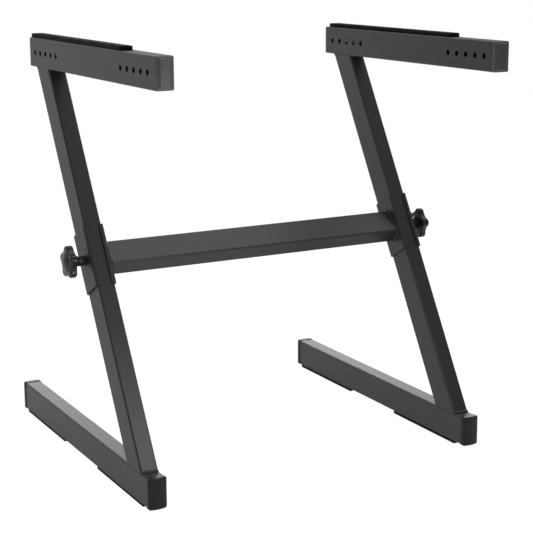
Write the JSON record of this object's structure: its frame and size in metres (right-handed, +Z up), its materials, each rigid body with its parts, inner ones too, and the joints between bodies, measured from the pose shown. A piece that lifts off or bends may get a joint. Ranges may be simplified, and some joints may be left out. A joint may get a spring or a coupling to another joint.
{
  "type": "z-style keyboard stand",
  "caption": "Z-style keyboard stand: two side frames of square steel tube joined by a crossbar whose clamp sleeves slide along the leaning legs and lock with star knobs.",
  "frame": {"origin": "on the floor, at the middle of the stand's width and depth", "axes": "+Z up, +X to the player's right, -Y towards the player; the arms reach forward to -Y"},
  "size_m": [0.7088, 0.6398, 0.7162],
  "materials": {
    "black_powder_coat": "satin black powder coat on steel tube and sheet",
    "cap_plastic": "smooth black moulded plastic",
    "black_rubber": "dull black foam rubber strip",
    "knob_plastic": "satin black moulded plastic",
    "zinc_steel": "zinc-plated steel"
  },
  "bodies": {
    "left_frame": {"left_foot_tube": "black_powder_coat", "left_leg_tube": "black_powder_coat", "left_arm_tube": "black_powder_coat", "left_foot_weld": "black_powder_coat", "left_arm_weld": "black_powder_coat", "left_arm_front_cap": "cap_plastic", "left_arm_rear_cap": "cap_plastic", "left_foot_front_cap": "cap_plastic", "left_foot_rear_cap": "cap_plastic", "left_arm_pad": "black_rubber", "left_foot_front_pad": "black_rubber", "left_foot_rear_pad": "black_rubber"},
    "crossbar_assembly": {"crossbar_tube": "black_powder_coat", "left_sleeve": "black_powder_coat", "left_crossbar_weld": "black_powder_coat", "left_clamp_boss": "black_powder_coat", "right_sleeve": "black_powder_coat", "right_crossbar_weld": "black_powder_coat", "right_clamp_boss": "black_powder_coat"},
    "right_frame": {"right_foot_tube": "black_powder_coat", "right_leg_tube": "black_powder_coat", "right_arm_tube": "black_powder_coat", "right_foot_weld": "black_powder_coat", "right_arm_weld": "black_powder_coat", "right_arm_front_cap": "cap_plastic", "right_arm_rear_cap": "cap_plastic", "right_foot_front_cap": "cap_plastic", "right_foot_rear_cap": "cap_plastic", "right_arm_pad": "black_rubber", "right_foot_front_pad": "black_rubber", "right_foot_rear_pad": "black_rubber"},
    "left_knob_washer": {"left_knob_washer": "knob_plastic"},
    "left_knob": {"left_knob_head": "knob_plastic", "left_knob_stud": "zinc_steel"},
    "right_knob_washer": {"right_knob_washer": "knob_plastic"},
    "right_knob": {"right_knob_head": "knob_plastic", "right_knob_stud": "zinc_steel"}
  },
  "joints": [
    {"name": "height_slide", "type": "slide", "parent": "left_frame", "child": "crossbar_assembly", "axis": [0, 0.5075, 0.8616], "range_m": [-0.27, 0.27]},
    {"name": "right_leg_slide", "type": "slide", "parent": "crossbar_assembly", "child": "right_frame", "axis": [0, 0.5075, 0.8616], "range_m": [-0.27, 0.27]},
    {"name": "left_knob_travel", "type": "slide", "parent": "crossbar_assembly", "child": "left_knob_washer", "axis": [-1, 0, 0], "range_m": [0, 0.0038]},
    {"name": "left_knob_turn", "type": "hinge", "parent": "left_knob_washer", "child": "left_knob", "pos_m": [-0.338, -0.02732, 0.35831], "axis": [-1, 0, 0], "range_deg": [0, 1080]},
    {"name": "right_knob_travel", "type": "slide", "parent": "crossbar_assembly", "child": "right_knob_washer", "axis": [1, 0, 0], "range_m": [0, 0.0038]},
    {"name": "right_knob_turn", "type": "hinge", "parent": "right_knob_washer", "child": "right_knob", "pos_m": [0.338, -0.02732, 0.35831], "axis": [1, 0, 0], "range_deg": [0, 1080]}
  ],
  "couplings": [
    {"joint": "right_leg_slide", "follows": "height_slide", "ratio": -1},
    {"joint": "left_knob_travel", "follows": "left_knob_turn", "m_per_rad": 0.00019894},
    {"joint": "right_knob_travel", "follows": "right_knob_turn", "m_per_rad": 0.00019894}
  ]
}
